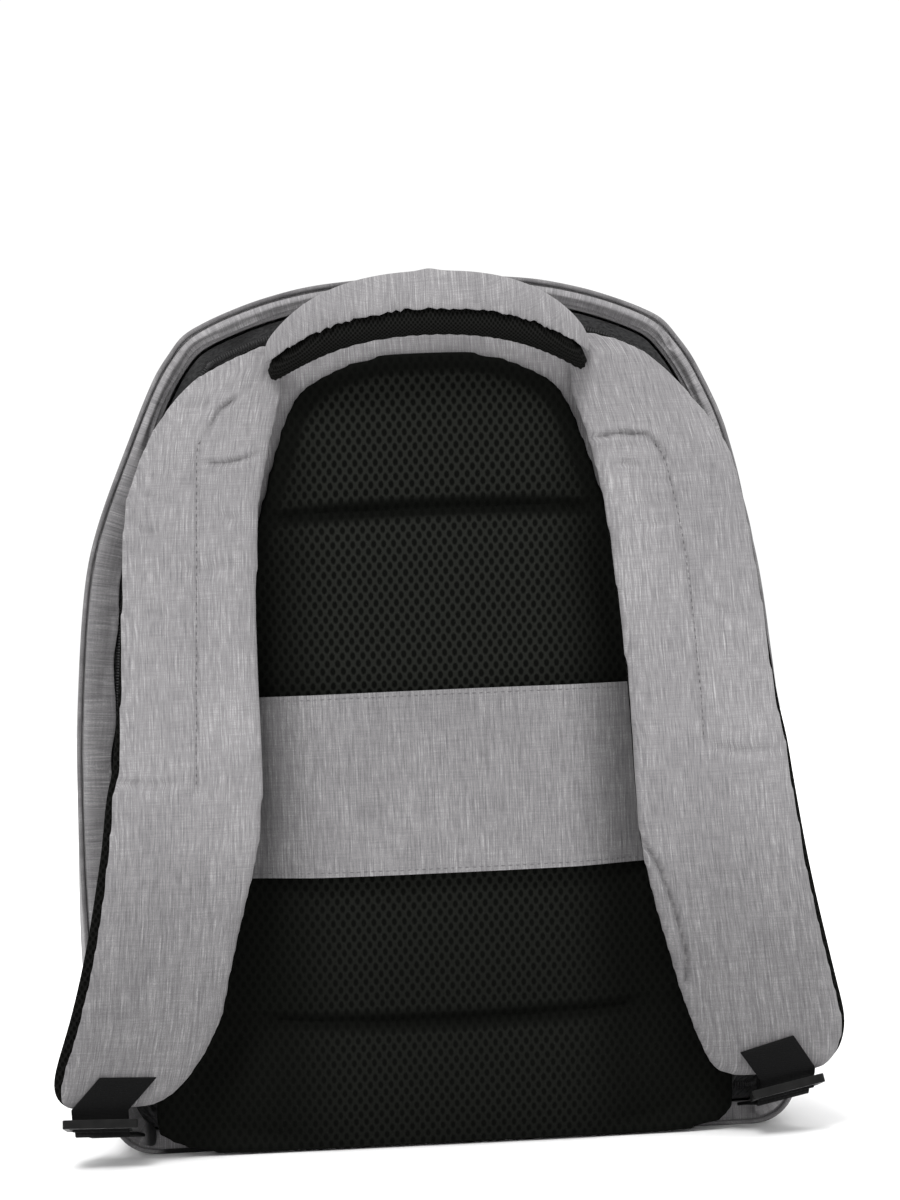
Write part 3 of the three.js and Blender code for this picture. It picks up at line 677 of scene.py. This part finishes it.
def makeRimBand():
    obj = copyOfNode("rim_band", "rim_cloth")
    smooth(obj, 3)
    places = pointsOf(obj)
    line = rimLine(0)
    ahead = np.roll(line, -1, axis=0) - line
    length = np.concatenate([[0], np.cumsum(np.linalg.norm(ahead, axis=1))])[:-1]
    flat = places[:, [0, 2]]
    nearest = np.array([int(np.argmin(((line - p) ** 2).sum(axis=1))) for p in flat])
    inward = flat - line[nearest]
    inset = np.linalg.norm(inward, axis=1)
    inward /= np.maximum(inset, 1e-6)[:, None]
    gone = length[nearest]
    along = np.column_stack([gone, gone * 0, gone * 0])
    onBand = np.column_stack([gone, inset, gone * 0])
    inner = ramp(5 * mm, rimBand["inner"] * mm, inset)
    upper = ramp(0.33, 0.37, flat[:, 1])
    leftSide = ramp(0.06, -0.1, flat[:, 0]) * ramp(0.07, 0.12, flat[:, 1])
    # across the band, how far its inner edge moves in
    wide = bumps(along, (0.03, 1, 1), 4) * rimBand["fold"] * (0.3 + 0.7 * leftSide) * (1 - 0.6 * upper)
    wide += leftSide * (1 - upper) * rimBand["wider"] - upper * rimBand["narrower"]
    wide *= inner * mm
    folded = around(awayFrom(places, inMetres(rimBand["cornerFold"])), rimBand["foldWidth"] * mm)
    places[:, 0] += inward[:, 0] * wide
    places[:, 2] += inward[:, 1] * wide
    # out of the band, its puckers, folds and slope
    raised = ramp(-0.0483, -0.0535, places[:, 1])
    lift = bumps(onBand, (0.006, 0.02, 1), 5) * rimBand["pucker"]
    lift += bumps(onBand, (0.02, 0.05, 1), 6) * (rimBand["roll"] + leftSide + 0.6 * upper)
    lift += bumps(onBand, (0.008, 0.012, 1), 7) * inner * (rimBand["gather"] * leftSide + upper)
    lift -= rimBand["foldDepth"] * folded + inner * (2.6 * upper + 1.6 * leftSide)
    places[:, 1] -= lift * raised * mm
    # it stays in front of the shell's lip and the zip's teeth, and keeps its thickness
    least = rimBand["back"] + rimBand["overTeeth"] * ramp(9 * mm, 14 * mm, inset + wide)
    least += rimBand["thick"] * raised
    places[:, 1] = np.minimum(places[:, 1], -least * mm)
    places[:, 2] = np.maximum(places[:, 2], 0.5 * mm)
    sagSide(places)
    setPoints(obj, places)
    # painted shade: darker on the left side where the strap shades the band, darker at the bottom-left
    # corner, and black at the bottom under the mesh
    toneAndPaintedShade = 0.28 * leftSide * (1 - upper)
    toneAndPaintedShade += 0.5 * ramp(0.04, 0.03, flat[:, 1]) * ramp(-0.12, -0.14, flat[:, 0])
    weaveMap(obj, gone, inset, np.maximum(toneAndPaintedShade, paintedShadeAtBottom(places, -0.158, 0.136)))
    finishPiece(obj, "melange_cloth", cloth, "rim_band")


makeRimBand()
print("rim band made")


# Zip: woven tape, coil of small teeth, and the slider
zipWork = {
    "coilInset": 20.4,
    "pitch": 1.5,
    "tooth": (1.3, 4.2, 1.6),
    "y": -49.3,
    "low": 19,
    "loose": 3.2,
}


def makeZip():
    tape = copyOfNode("zip_tape", "zip_tape_cloth")
    smooth(tape, 2)
    places = pointsOf(tape)
    track = np.arctan2(places[:, 2] - 0.2, places[:, 0]) * 0.2
    out = np.hypot(places[:, 0], places[:, 2] - 0.2)
    topLeft = ramp(-0.06, -0.09, places[:, 0]) * ramp(0.33, 0.36, places[:, 2])
    fold = bumps(np.column_stack([track, out, out * 0]), (0.011, 0.02, 1), 20) + 0.4
    places[:, 1] += np.maximum(fold, 0) * topLeft * zipWork["loose"] * mm
    weaveMap(tape, track, out)
    sagSide(places)
    setPoints(tape, places)
    finishPiece(tape, "zip_cloth", tapeCloth, "zip_tape")
    line = overTop(rimLine(zipWork["coilInset"] * mm, zipWork["pitch"] * mm), zipWork["low"] * mm)
    spots = [Vector((x, zipWork["y"] * mm, z)) for x, z in line]
    places = [placedOn(a, b, Vector((0, -1, 0))) for a, b in zip(spots, spots[1:])]
    tooth = makeStitch(1.0, 1.0)
    setPoints(tooth, pointsOf(tooth) * (np.array(zipWork["tooth"]) * mm))
    coil = repeatAlong(tooth, "zip_teeth", places)
    places = pointsOf(coil)
    sagSide(places)
    setPoints(coil, places)
    finishPiece(coil, "zip_cloth", coilLook, "zip_coil")
    bevelNode("zip_slider", 0.8 * mm, metal)


def bevelNode(node, width, material):  # a hard piece that keeps its solid's mesh
    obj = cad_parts[node]
    obj.data.materials.clear()
    obj.data.materials.append(material)
    weld = obj.modifiers.new("weld", "WELD")
    weld.merge_threshold = 0.01 * mm
    bevel = obj.modifiers.new("bevel", "BEVEL")
    bevel.width = width
    bevel.segments = 3
    bevel.limit_method = "ANGLE"
    bevel.angle_limit = math.radians(35)
    bevel.harden_normals = True


makeZip()
print("zip made")


# Board of the back, in grey cloth, with painted shade: black where it lies in shadow under the mesh's
# lower end
board = {"wave": 0.8, "ripple": 0.35, "greyFrom": 100, "blackTo": 85}


def makeBoard():
    obj = copyOfNode("back_panel", "back_board_cloth")
    inEditMode(obj, lambda: bpy.ops.mesh.subdivide(number_cuts=1))
    smooth(obj, 2)
    places = pointsOf(obj)
    front = places[:, 1].min()
    face = ramp(front + 8 * mm, front + 1 * mm, places[:, 1])
    wave = bumps(places, (0.03, 0.03, 0.03), 8) * board["wave"]
    wave += bumps(places, (0.012, 0.03, 0.03), 9) * board["ripple"]
    places[:, 1] += wave * face * mm
    setPoints(obj, places)
    # painted shade: black below about 85 mm, grey above 100 mm
    black = ramp(board["greyFrom"] * mm, board["blackTo"] * mm, places[:, 2])
    weaveMap(obj, places[:, 0] + places[:, 1], places[:, 2], black)
    finishPiece(obj, "melange_cloth", cloth, "back_panel")


makeBoard()
print("board made")


# Mesh cushions, with their two sewn grooves; the mesh reaches round the bottom corners
cushions = {
    "voxel": 3.6,
    "pressure": 4,
    "cap": 3.0,
    "front": 64.5,
    "grooves": (321, 64),
    "grooveWidth": 2.6,
    "grooveDepth": 3.2,
    "margin": 16,
    "slope": {"from": 62, "to": 96, "deep": 7},
    "corner": {
        "height": (0, 4, 10, 19, 31, 46, 58, 70, 84),
        "left": (23, 25, 27, 22, 14, 8, 5, 3, 0),
        "right": (21, 20, 16, 9, 3, 1, 0, 0, 0),
    },
}


def sidesOf(places):  # every level of a piece, with its least and greatest x and y there
    levels = np.unique(np.round(places[:, 2], 4))
    rows = [places[np.abs(places[:, 2] - z) < 0.06 * mm] for z in levels]
    kept = [(z, row) for z, row in zip(levels, rows) if len(row) > 4]
    low = np.array([row[:, :2].min(axis=0) for _, row in kept])
    high = np.array([row[:, :2].max(axis=0) for _, row in kept])
    return np.array([z for z, _ in kept]), low, high


def slopeAway(places):  # how much deeper the cushions lie towards the straps
    slope = cushions["slope"]
    return slope["deep"] * mm * ramp(slope["from"] * mm, slope["to"] * mm, np.abs(places[:, 0]))


def makeCushions():
    obj = copyOfNode("mesh_panel", "mesh_cushions")
    places = pointsOf(obj)
    levels, low, high = sidesOf(places)
    half = np.interp(places[:, 2], levels, high[:, 0])
    corner = cushions["corner"]
    for side, name in ((-1, "left"), (1, "right")):
        reach = np.interp(places[:, 2] / mm, corner["height"], corner[name], right=0) * mm
        places[:, 0] += side * reach * ramp(0.5, 1, side * places[:, 0] / half)
    setPoints(obj, places)
    levels, low, high = sidesOf(places)
    outline = list(zip(low[:, 0], levels)) + list(zip(high[::-1, 0], levels[::-1]))
    grooves = [z * mm for z in cushions["grooves"]]
    back = places[:, 1].max()

    def held(places):
        near = np.min([np.abs(places[:, 2] - z) for z in grooves], axis=0)
        return (places[:, 1] > back - 4.5 * mm) | (near < 4 * mm)

    swell(obj, cushions["voxel"] * mm, cushions["pressure"], cushions["cap"] * mm, held)
    smooth(obj, 1)
    places = pointsOf(obj)
    face = ramp(back - 4 * mm, back - 9 * mm, places[:, 1])
    # pressed flat along the sewn margin and the grooves, with the web darker there as painted shade
    pressedAndPaintedShade = ramp(cushions["margin"] * mm, (cushions["margin"] - 6) * mm, awayFrom(places, outline))
    for z in grooves:
        ridge = z + (0.004 * np.cos(places[:, 0] * 14) - 0.004) * (1 if z > 0.2 else -1)
        near = np.abs(places[:, 2] - ridge)
        places[:, 1] += around(near, cushions["grooveWidth"] * mm) * face * cushions["grooveDepth"] * mm
        pressedAndPaintedShade = np.maximum(pressedAndPaintedShade, ramp(7 * mm, 3.5 * mm, near))
    wave = bumps(places, (0.05,) * 3, 10) * 1.1 + bumps(places, (0.02,) * 3, 11) * 0.45
    places[:, 1] += (wave * mm + slopeAway(places)) * face
    inFront = np.minimum(places[:, 1], -cushions["front"] * mm)  # of the board
    places[:, 1] = np.where(face > 0.5, inFront, places[:, 1])
    setPoints(obj, places)
    # painted shade: the web darker and its holes shut towards the straps
    pressedAndPaintedShade = np.maximum(pressedAndPaintedShade, 0.9 * ramp(45 * mm, 92 * mm, np.abs(places[:, 0])))
    # painted shade: darker towards the bottom
    openAndUnshaded = (1 - pressedAndPaintedShade) * (1 - 0.6 * ramp(0.27, 0.04, places[:, 2]))
    weaveMap(obj, places[:, 0], places[:, 2], 1 - openAndUnshaded)
    finishPiece(obj, "air_mesh", mesh, "mesh_panel")


makeCushions()
print("cushions made")


# Band that slips over a trolley's handle
bandWork = {"thick": 1.6, "hem": 2.2, "bow": 0.6, "wave": 0.5, "front": 66.4}


def facing(obj):  # the solidify offset that keeps the front face where it is
    return -1 if obj.data.polygons[0].normal.y < 0 else 1


def makeBand():
    low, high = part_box("luggage_strap")
    node = treeOf(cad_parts["luggage_strap"])
    bpy.ops.object.select_all(action="DESELECT")
    bpy.ops.mesh.primitive_grid_add(x_subdivisions=140, y_subdivisions=60, size=1)
    obj = bpy.context.object
    obj.name = "trolley_band"
    places = pointsOf(obj)
    u, v = places[:, 0] + 0.5, places[:, 1] + 0.5
    x = low.x + 0.3 * mm + (high.x - low.x - 0.6 * mm) * u
    z = low.z + (high.z - low.z) * v
    y = np.empty(len(x))
    for i in range(len(x)):
        hit, _, _, _ = node.ray_cast(Vector((x[i], -0.2, (low.z + high.z) / 2)), Vector((0, 1, 0)))
        y[i] = hit.y if hit else high.y
    wave = bumps(np.column_stack([x, z, z]), (0.05, 0.045, 1), 12) * bandWork["wave"]
    edge = np.minimum(z - low.z, high.z - z)
    hem = around(edge - bandWork["hem"] * mm, 0.5 * mm) * 0.3
    bow = np.sin(np.pi * u) * bandWork["bow"] * mm * (2 * v - 1)
    laid = np.column_stack([x, y + (wave + hem) * mm, z + bow])
    laid[:, 1] = np.minimum(laid[:, 1] + slopeAway(laid), -bandWork["front"] * mm)
    setPoints(obj, laid)
    inEditMode(obj, lambda: bpy.ops.mesh.normals_make_consistent(inside=False))
    modify(obj, "SOLIDIFY", thickness=bandWork["thick"] * mm, offset=facing(obj))
    places = pointsOf(obj)
    # darker all over, and painted shade towards the ends, where the straps shade the band
    toneAndPaintedShade = 0.17 + 0.3 * ramp(58 * mm, 90 * mm, np.abs(places[:, 0]))
    weaveMap(obj, places[:, 0], places[:, 2], toneAndPaintedShade)
    finishPiece(obj, "melange_cloth", cloth, "luggage_strap")
    tree = treeOf(obj)
    span = np.linspace(low.x + 3 * mm, high.x - 3 * mm, 90)
    bowed = 0.5 * mm * np.sin(np.pi * (span - low.x) / (high.x - low.x))
    for name, edge, inwards in (("top", high.z, -1), ("bottom", low.z, 1)):
        line = np.column_stack([span, edge + inwards * (bandWork["hem"] * mm - bowed)])
        spots = onSurface(tree, line, 0.05 * mm)
        sewLine("band_stitches_" + name, spots, stitch=2.2 * mm, space=1.4 * mm, thick=0.4 * mm)


makeBand()
print("trolley band made")


# Shoulder straps: padded covers, with a sewn line, creases and, on the right, a pocket's slit.
# All places are (x, z) in mm on the strap's face; a crease has its width and its depth too.
straps = {
    "left": {
        "side": -1,
        "seam": [(-115, 358), (-117.2, 350.8), (-119.4, 298.8), (-121.5, 249.3), (-124.2, 184.9)],
        "creases": [
            ([(-94.6, 380.4), (-103.8, 374.3), (-109.2, 366.0), (-113.0, 358.7)], 1.3, 2.0),
            ([(-115.9, 347.7), (-105.0, 346.3), (-93.4, 348.8), (-84, 351)], 1.2, 1.7),
            ([(-146.4, 332.4), (-137.6, 329.6), (-130.8, 325.3)], 2.4, 1.3),
            ([(-169, 190.5), (-159.5, 190.7), (-147, 188.9), (-133, 189.5)], 1.8, 1.3),
            ([(-128, 297), (-117, 292), (-104, 296)], 3.0, 0.9),
            ([(-109, 322), (-101, 318), (-95, 320)], 2.0, 0.8),
            ([(-121, 372), (-112, 376), (-104, 371)], 2.6, 1.0),
            ([(-150, 318), (-143, 313), (-134, 309)], 2.2, 1.1),
            ([(-152, 268), (-142, 272), (-133, 270)], 2.8, 0.7),
        ],
    },
    "right": {
        "side": 1,
        "seam": [(112.5, 348), (117.8, 336.0), (124.8, 288.6), (128.3, 219.0), (128.1, 200)],
        "creases": [
            ([(79, 352.4), (95.3, 354.0), (108.2, 352.9), (114.9, 345.7)], 1.2, 2.2),
            ([(114.9, 345.7), (118, 338)], 1.5, 1.2),
            ([(127.4, 197.8), (144.8, 192.7), (168, 193)], 2.2, 1.5),
            ([(90, 337), (98, 339), (106, 336)], 1.8, 1.2),
            ([(104.0, 331.8), (115.3, 329.0), (121, 330.7)], 1.9, 1.1),
            ([(99.0, 318), (110, 316), (121, 317)], 2.2, 0.9),
            ([(97, 310), (108, 307), (119, 309)], 1.8, 1.0),
            ([(124, 352), (129, 345), (132, 336)], 2.6, 0.9),
            ([(132, 268), (142, 262), (152, 257)], 2.8, 0.9),
        ],
        "reach": {
            "height": (30, 39, 47, 58, 72, 94, 118, 142, 200, 270, 328, 345, 360, 373, 384, 391, 396, 400),
            "out": (1, 3, 3, 4.5, 3.5, 3, 3.2, 3.5, 3.5, 4, 4, 6.5, 9, 8, 7.5, 6.6, 6, 4),
            "lift": 7,
        },
        "slit": [
            (95.5, 149.5), (99.5, 144), (103.5, 135.5), (107.9, 121.2),
            (112.4, 104.7), (114.8, 91.2), (114.2, 80),
        ],
    },
}
strapWork = {
    "voxel": 2.4,
    "pressure": 3,
    "cap": 1.2,
    "crease": 1.35,
    "slitDepth": 2.6,
    "slitWidth": 1.3,
    "flap": 1.2,
    "liningIn": 3,
}


def reachOut(obj, reach):  # the strap's outer side moved out, and its top end up
    places = pointsOf(obj)
    levels, low, high = sidesOf(places)
    inner = np.interp(places[:, 2], levels, low[:, 0])
    outer = np.interp(places[:, 2], levels, high[:, 0])
    out = np.interp(places[:, 2] / mm, reach["height"], reach["out"]) * mm
    places[:, 0] += out * ramp(0.35, 1, (places[:, 0] - inner) / (outer - inner))
    places[:, 2] += reach["lift"] * mm * ramp(0.368, 0.396, places[:, 2])
    setPoints(obj, places)


def makeStrap(hand):
    work = straps[hand]
    node = "shoulder_strap_" + hand
    obj = copyOfNode(node, "strap_cover_" + hand)
    if "reach" in work:
        reachOut(obj, work["reach"])
    levels, low, high = sidesOf(pointsOf(obj))
    middle = (low[:, 0] + high[:, 0]) / 2
    backs, fronts = high[:, 1], low[:, 1]

    def held(places):
        back = np.interp(places[:, 2], levels, backs)
        end = (places[:, 2] > levels[-1] - 6 * mm) | (places[:, 2] < levels[0] + 8 * mm)
        return (places[:, 1] > back - 3 * mm) | end

    swell(obj, strapWork["voxel"] * mm, strapWork["pressure"], strapWork["cap"] * mm, held)
    smooth(obj, 1)
    places = pointsOf(obj)
    back = np.interp(places[:, 2], levels, backs)
    front = np.interp(places[:, 2], levels, fronts)
    face = ramp(back - 3 * mm, front + 3 * mm, places[:, 1])
    sewn = inMetres(work["seam"])
    near = awayFrom(places, sewn)
    dip = 1.3 * around(near, 1.1 * mm) + 0.7 * around(near, 6 * mm)
    uneven = 0.75 + 0.6 * bumps(places, (0.009, 0.02, 0.009), 19)
    for line, width, depth in work["creases"]:  # sharp, with the cloth puffed up beside it
        near, share = nearLine(places, inMetres(line))
        near /= width * mm
        taper = np.sin(np.pi * (share * 0.96 + 0.02)) ** 0.6
        shape = around(near, 1) - 0.4 * around(near - 2.4, 1.5)
        dip += strapWork["crease"] * depth * uneven * taper * shape
    if "slit" in work:
        slit = np.array(inMetres(work["slit"]))
        inner = np.interp(places[:, 2], slit[::-1, 1], slit[::-1, 0]) - places[:, 0]
        within = ramp(0.082, 0.092, places[:, 2]) * ramp(0.152, 0.142, places[:, 2])
        flap = ramp(0, 1.6 * mm, inner) * ramp(16 * mm, 5 * mm, inner) * within
        dip += strapWork["slitDepth"] * around(awayFrom(places, slit), strapWork["slitWidth"] * mm)
        dip -= strapWork["flap"] * flap
    dip += bumps(places, (0.035, 0.035, 0.05), 13 + work["side"]) * 0.9
    dip += bumps(places, (0.014, 0.014, 0.02), 15 + work["side"]) * 0.22
    places[:, 1] += dip * face * mm
    sink = ramp(levels[-1] - 16 * mm, levels[-1], places[:, 2])  # the top end lies down on the board
    places[:, 1] += (back - places[:, 1]) * 0.5 * sink
    setPoints(obj, places)
    across = places[:, 0] - 0.4 * np.interp(places[:, 2], levels, middle)
    slope = np.hypot(np.gradient(middle, levels), np.gradient(backs, levels))
    gone = np.concatenate([[0], np.cumsum(np.diff(levels) * np.hypot(1, (slope[1:] + slope[:-1]) / 2))])
    across += np.abs(places[:, 1] - front) * 0.7 + 0.4 * work["side"]
    # painted shade: darker towards the bottom of the strap, where less light reaches
    toneAndPaintedShade = 0.34 * ramp(0.22, 0.06, places[:, 2])
    weaveMap(obj, across, np.interp(places[:, 2], levels, gone), toneAndPaintedShade)
    finishPiece(obj, "melange_cloth", cloth, node)
    spots = onSurface(treeOf(obj), evenly(sewn, 2 * mm), 0.05 * mm)
    sewLine("strap_stitches_" + hand, spots, stitch=2.0 * mm, space=1.7 * mm, thick=0.5 * mm)
    makeLining(hand)


def middleOf(places):  # heights, and the middle of the piece at each
    levels = np.arange(places[:, 2].min(), places[:, 2].max(), 4 * mm)
    rows = [places[np.abs(places[:, 2] - z) < 6 * mm][:, 0] for z in levels]
    return levels, np.array([(row.min() + row.max()) / 2 for row in rows])


def makeLining(hand):  # its inner edge stays hidden at the top
    node = "strap_lining_" + hand
    obj = copyOfNode(node, "strap_mesh_" + hand)
    if "reach" in straps[hand]:
        reachOut(obj, straps[hand]["reach"])
    smooth(obj, 2)
    places = pointsOf(obj)
    side = straps[hand]["side"]
    top = ramp(0.3, 0.34, places[:, 2])
    middle = np.interp(places[:, 2], *middleOf(places))
    inward = ramp(8 * mm, 26 * mm, side * (middle - places[:, 0]))
    places[:, 0] += side * strapWork["liningIn"] * mm * top * inward
    setPoints(obj, places)
    weaveMap(obj, places[:, 0], places[:, 2])
    finishPiece(obj, "air_mesh", liningMesh, node)


makeStrap("left")
makeStrap("right")
print("straps made")


# Grab handle: grey cover puckered along its seam, black mesh under it
handle = {"pucker": 2.3, "pitch": 3.4, "fold": 0.7, "peak": 1.2, "ribPitch": 3.4, "rib": 0.25}


def makeHandleCover():
    cover = copyOfNode("handle_cover", "handle_cloth")
    smooth(cover, 3)
    places = pointsOf(cover)
    x = places[:, 0]
    columns = np.arange(-0.083, 0.0835, 0.002)
    front = places[places[:, 1] < -0.094]
    lowest = [front[np.abs(front[:, 0] - c) < 2.2 * mm][:, 2].min(initial=0.43) for c in columns]
    up = places[:, 2] - np.interp(x, columns, lowest)
    drift = bumps(np.column_stack([x, x * 0, x * 0]), (0.012, 1, 1), 17)
    beat = 0.5 * np.sin(x * 2 * math.pi / (handle["pitch"] * mm) + 5 * drift)
    beat += 1.6 * bumps(np.column_stack([x, up * 0.25, x * 0]), (0.0028, 0.01, 1), 21)
    beat *= handle["pucker"] * mm
    outside = ramp(-0.09, -0.097, places[:, 1]) * 0.6 + 0.4
    places[:, 1] += beat * around(up, 7 * mm) * outside * 0.6
    places[:, 2] += beat * around(up, 3 * mm) * 0.4
    fold = bumps(np.column_stack([x, places[:, 2], x * 0]), (0.012, 0.03, 1), 18)
    places[:, 1] += fold * handle["fold"] * mm
    peak = around(x - 1 * mm, 5 * mm) * ramp(0.43, 0.438, places[:, 2])
    places[:, 2] += peak * handle["peak"] * mm
    setPoints(cover, places)
    weaveMap(cover, x, places[:, 2] - places[:, 1])
    finishPiece(cover, "melange_cloth", cloth, "handle_cover")


def makeHandleMesh():
    lining = copyOfNode("handle_lining", "handle_mesh")
    smooth(lining, 3)
    places = pointsOf(lining)
    ribs = np.sin((places[:, 0] * 1.2 + places[:, 2] * 0.8) * 2 * math.pi / (handle["ribPitch"] * mm))
    low = ramp(0.43, 0.40, places[:, 2] + np.abs(places[:, 0]) * 0.2)
    places += normalsOf(lining) * (ribs * low * handle["rib"] * mm)[:, None]
    setPoints(lining, places)
    weaveMap(lining, places[:, 0], places[:, 2] - places[:, 1])
    finishPiece(lining, "air_mesh", handleMesh, "handle_lining")


makeHandleCover()
makeHandleMesh()
print("handle made")


# Webbing tabs, adjusting webbing and ladder locks
def makeWebbing(node, name):
    obj = copyOfNode(node, name)
    modify(obj, "BEVEL", width=0.45 * mm, segments=2, limit_method="ANGLE", angle_limit=math.radians(50))
    inEditMode(obj, lambda: bpy.ops.mesh.subdivide(number_cuts=2))
    places = pointsOf(obj)
    weaveMap(obj, places[:, 0], places[:, 2] - places[:, 1])
    finishPiece(obj, "webbing", webbing, node)


for hand in ("left", "right"):
    makeWebbing("strap_tab_" + hand, "tab_webbing_" + hand)
    makeWebbing("adjuster_webbing_" + hand, "adjuster_" + hand)
    bevelNode("ladder_lock_" + hand, 0.6 * mm, plastic)
print("webbing and locks made")
